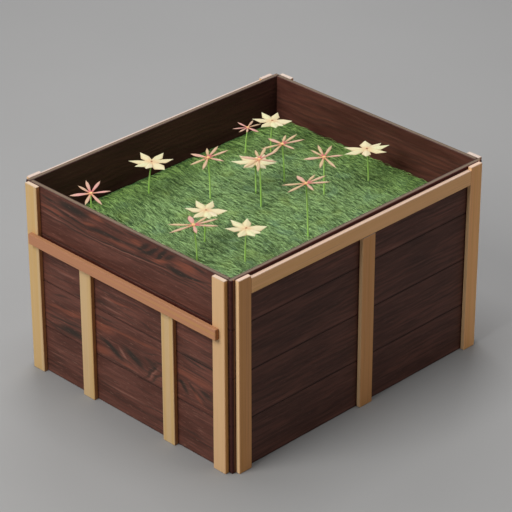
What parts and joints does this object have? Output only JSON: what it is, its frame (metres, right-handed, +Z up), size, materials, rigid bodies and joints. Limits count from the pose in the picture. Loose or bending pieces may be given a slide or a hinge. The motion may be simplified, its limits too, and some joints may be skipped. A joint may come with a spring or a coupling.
{
  "type": "planted wooden window box",
  "caption": "Rectangular box of dark horizontal planks held by pale outer battens, filled with soil, combed grass and pink and cream star-shaped flowers on thin stems.",
  "frame": {"origin": "middle of the box's footprint, on the surface it stands on", "axes": "+X along the box's long side, +Y across it towards the back, +Z up; the front long face looks along -Y and the left short face along -X"},
  "size_m": [0.6344, 0.512, 0.387],
  "materials": {
    "dark_plank": "dark red-brown stained plank with a wavy grain and a satin lacquer",
    "pale_batten": "pale tan batten with fine straight grain, smooth and satin",
    "warm_band": "warm orange-tan rail with a soft grain, satin",
    "base_board": "plain brown boards, matt",
    "soil": "dark crumbly moist earth",
    "grass": "fine mid-green grass blades combed one way",
    "pink_petal": "soft matt petals from pink to peach",
    "cream_petal": "soft matt cream petals, greenish white towards the tips",
    "flower_stem": "fresh green stem, slightly waxy",
    "flower_eye": "small grainy yellow-orange middle of a flower"
  },
  "bodies": {
    "root": {"front_plank_1": "dark_plank", "front_plank_2": "dark_plank", "front_plank_3": "dark_plank", "front_plank_4": "dark_plank", "back_plank_1": "dark_plank", "back_plank_2": "dark_plank", "back_plank_3": "dark_plank", "back_plank_4": "dark_plank", "left_plank_1": "dark_plank", "left_plank_2": "dark_plank", "left_plank_3": "dark_plank", "left_plank_4": "dark_plank", "right_plank_1": "dark_plank", "right_plank_2": "dark_plank", "right_plank_3": "dark_plank", "right_plank_4": "dark_plank", "front_post_1": "pale_batten", "front_post_2": "pale_batten", "back_post_1": "pale_batten", "back_post_2": "pale_batten", "left_post_1": "pale_batten", "left_post_2": "pale_batten", "right_post_1": "pale_batten", "right_post_2": "pale_batten", "front_top_rail": "pale_batten", "back_top_rail": "pale_batten", "front_stile": "pale_batten", "back_stile": "pale_batten", "left_stile_1": "pale_batten", "left_stile_2": "pale_batten", "right_stile_1": "pale_batten", "right_stile_2": "pale_batten", "left_band": "warm_band", "right_band": "warm_band", "base_board_1": "base_board", "base_board_2": "base_board", "base_board_3": "base_board", "base_board_4": "base_board", "base_board_5": "base_board", "soil": "soil", "turf": "grass", "pink_flower_1": "pink_petal", "pink_flower_2": "pink_petal", "pink_flower_3": "pink_petal", "pink_flower_4": "pink_petal", "pink_flower_5": "pink_petal", "pink_flower_6": "pink_petal", "pink_flower_7": "pink_petal", "pink_flower_8": "pink_petal", "cream_flower_1": "cream_petal", "cream_flower_2": "cream_petal", "cream_flower_3": "cream_petal", "cream_flower_4": "cream_petal", "cream_flower_5": "cream_petal", "cream_flower_6": "cream_petal"}
  },
  "joints": []
}
